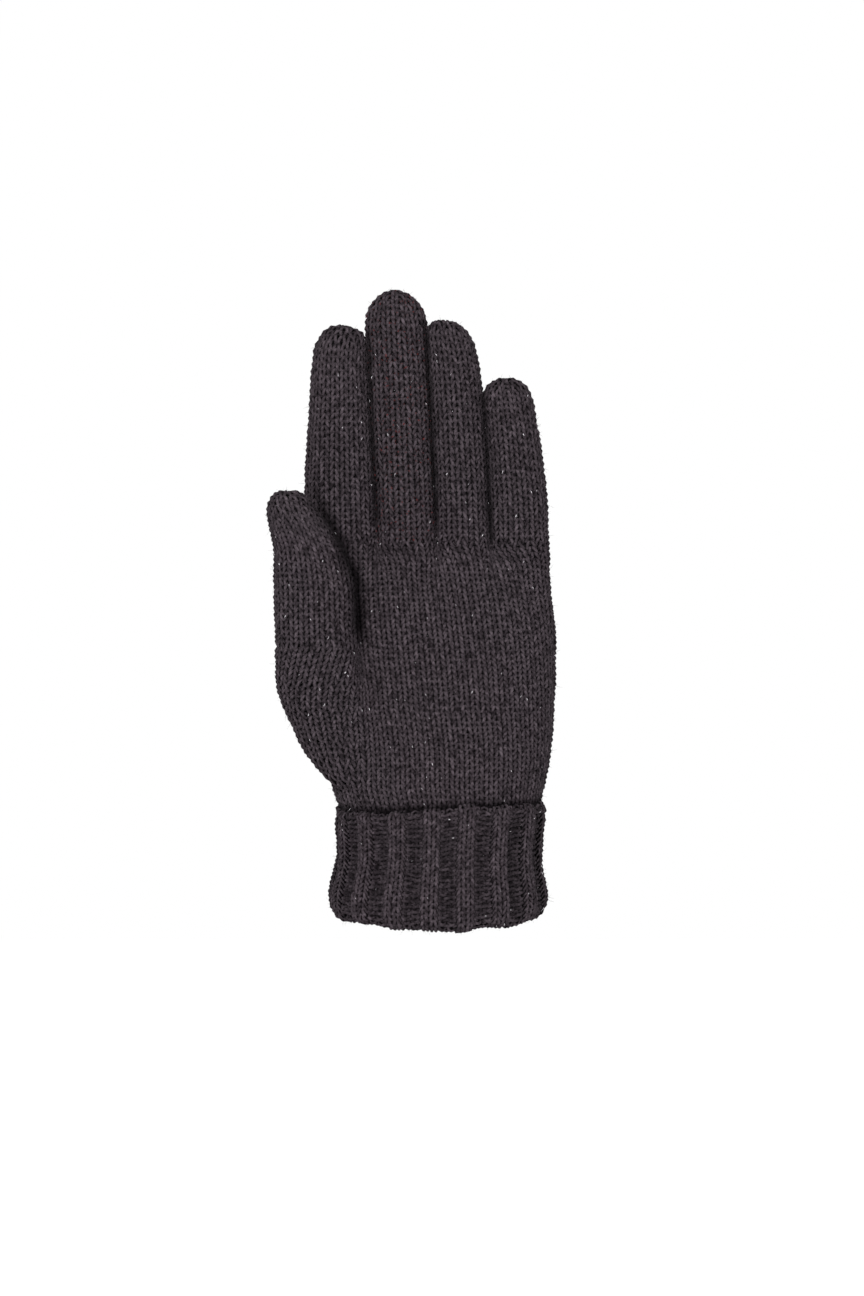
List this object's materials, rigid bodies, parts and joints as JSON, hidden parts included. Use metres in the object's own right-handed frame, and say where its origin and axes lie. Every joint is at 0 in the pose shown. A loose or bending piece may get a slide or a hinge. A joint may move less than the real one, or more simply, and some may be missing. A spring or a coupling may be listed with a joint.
{
  "type": "knitted glove",
  "caption": "soft knitted glove with full fingers and a turned-up ribbed cuff, left hand, filled as worn",
  "frame": {"origin": "middle of the wrist opening, level with the fold at the bottom of the cuff", "axes": "+Z towards the fingertips, -Y out of the palm, -X towards the thumb"},
  "size_m": [0.0988, 0.0598, 0.22],
  "materials": {
    "plain_knit": "matte soft melange yarn in plain knit with scattered metallic glints",
    "ribbed_knit": "the same yarn in two by two rib",
    "cast_on_yarn": "the same yarn, rolled at the cast-on edge"
  },
  "bodies": {
    "hand": {"cuff_fold": "ribbed_knit", "cuff_turnback": "ribbed_knit", "cuff_cast_on_edge": "cast_on_yarn", "wrist_rib": "ribbed_knit", "palm": "plain_knit", "thumb_gusset": "plain_knit"},
    "index_finger_base": {"index_finger_knuckle_band": "plain_knit", "index_finger_base": "plain_knit"},
    "index_finger_mid": {"index_finger_mid_joint_band": "plain_knit", "index_finger_mid": "plain_knit"},
    "index_finger_tip": {"index_finger_tip_joint_band": "plain_knit", "index_finger_tip": "plain_knit"},
    "middle_finger_base": {"middle_finger_knuckle_band": "plain_knit", "middle_finger_base": "plain_knit"},
    "middle_finger_mid": {"middle_finger_mid_joint_band": "plain_knit", "middle_finger_mid": "plain_knit"},
    "middle_finger_tip": {"middle_finger_tip_joint_band": "plain_knit", "middle_finger_tip": "plain_knit"},
    "ring_finger_base": {"ring_finger_knuckle_band": "plain_knit", "ring_finger_base": "plain_knit"},
    "ring_finger_mid": {"ring_finger_mid_joint_band": "plain_knit", "ring_finger_mid": "plain_knit"},
    "ring_finger_tip": {"ring_finger_tip_joint_band": "plain_knit", "ring_finger_tip": "plain_knit"},
    "little_finger_base": {"little_finger_knuckle_band": "plain_knit", "little_finger_base": "plain_knit"},
    "little_finger_mid": {"little_finger_mid_joint_band": "plain_knit", "little_finger_mid": "plain_knit"},
    "little_finger_tip": {"little_finger_tip_joint_band": "plain_knit", "little_finger_tip": "plain_knit"},
    "thumb_base": {"thumb_knuckle_band": "plain_knit", "thumb_base": "plain_knit"},
    "thumb_tip": {"thumb_joint_band": "plain_knit", "thumb_tip": "plain_knit"}
  },
  "joints": [
    {"name": "index_finger_knuckle", "type": "hinge", "parent": "hand", "child": "index_finger_base", "pos_m": [-0.0335, -0.0055, 0.139], "axis": [1, 0, 0.0019], "range_deg": [0, 40], "deforming": ["index_finger_knuckle_band"]},
    {"name": "index_finger_mid_joint", "type": "hinge", "parent": "index_finger_base", "child": "index_finger_mid", "pos_m": [-0.034, -0.0057, 0.172], "axis": [1, 0, 0.0019], "range_deg": [0, 65], "deforming": ["index_finger_mid_joint_band"]},
    {"name": "index_finger_tip_joint", "type": "hinge", "parent": "index_finger_mid", "child": "index_finger_tip", "pos_m": [-0.0336, -0.0051, 0.1905], "axis": [1, 0, 0.0019], "range_deg": [0, 35], "deforming": ["index_finger_tip_joint_band"]},
    {"name": "middle_finger_knuckle", "type": "hinge", "parent": "hand", "child": "middle_finger_base", "pos_m": [-0.0107, -0.0055, 0.139], "axis": [0.9986, 0, 0.0532], "range_deg": [0, 60], "deforming": ["middle_finger_knuckle_band"]},
    {"name": "middle_finger_mid_joint", "type": "hinge", "parent": "middle_finger_base", "child": "middle_finger_mid", "pos_m": [-0.0127, -0.0059, 0.177], "axis": [0.9986, 0, 0.0532], "range_deg": [0, 80], "deforming": ["middle_finger_mid_joint_band"]},
    {"name": "middle_finger_tip_joint", "type": "hinge", "parent": "middle_finger_mid", "child": "middle_finger_tip", "pos_m": [-0.0139, -0.0053, 0.199], "axis": [0.9986, 0, 0.0532], "range_deg": [0, 40], "deforming": ["middle_finger_tip_joint_band"]},
    {"name": "ring_finger_knuckle", "type": "hinge", "parent": "hand", "child": "ring_finger_base", "pos_m": [0.0088, -0.0051, 0.139], "axis": [0.9984, 0, 0.0565], "range_deg": [0, 65], "deforming": ["ring_finger_knuckle_band"]},
    {"name": "ring_finger_mid_joint", "type": "hinge", "parent": "ring_finger_base", "child": "ring_finger_mid", "pos_m": [0.007, -0.0055, 0.173], "axis": [0.9984, 0, 0.0565], "range_deg": [0, 80], "deforming": ["ring_finger_mid_joint_band"]},
    {"name": "ring_finger_tip_joint", "type": "hinge", "parent": "ring_finger_mid", "child": "ring_finger_tip", "pos_m": [0.0058, -0.0049, 0.192], "axis": [0.9984, 0, 0.0565], "range_deg": [0, 40], "deforming": ["ring_finger_tip_joint_band"]},
    {"name": "little_finger_knuckle", "type": "hinge", "parent": "hand", "child": "little_finger_base", "pos_m": [0.0283, -0.0043, 0.139], "axis": [0.9965, 0, 0.0838], "range_deg": [0, 65], "deforming": ["little_finger_knuckle_band"]},
    {"name": "little_finger_mid_joint", "type": "hinge", "parent": "little_finger_base", "child": "little_finger_mid", "pos_m": [0.0267, -0.0046, 0.159], "axis": [0.9965, 0, 0.0838], "range_deg": [0, 75], "deforming": ["little_finger_mid_joint_band"]},
    {"name": "little_finger_tip_joint", "type": "hinge", "parent": "little_finger_mid", "child": "little_finger_tip", "pos_m": [0.0254, -0.004, 0.1735], "axis": [0.9965, 0, 0.0838], "range_deg": [0, 40], "deforming": ["little_finger_tip_joint_band"]},
    {"name": "thumb_knuckle", "type": "hinge", "parent": "hand", "child": "thumb_base", "pos_m": [-0.0367, -0.0267, 0.1063], "axis": [0.5692, 0.8189, 0.0733], "range_deg": [0, 25], "deforming": ["thumb_knuckle_band"]},
    {"name": "thumb_joint", "type": "hinge", "parent": "thumb_base", "child": "thumb_tip", "pos_m": [-0.0385, -0.0269, 0.127], "axis": [0.5692, 0.8189, 0.0733], "range_deg": [0, 35], "deforming": ["thumb_joint_band"]}
  ],
  "couplings": [
    {"joint": "index_finger_tip_joint", "follows": "index_finger_mid_joint", "ratio": 0.5},
    {"joint": "middle_finger_tip_joint", "follows": "middle_finger_mid_joint", "ratio": 0.5},
    {"joint": "ring_finger_tip_joint", "follows": "ring_finger_mid_joint", "ratio": 0.5},
    {"joint": "little_finger_tip_joint", "follows": "little_finger_mid_joint", "ratio": 0.5}
  ]
}
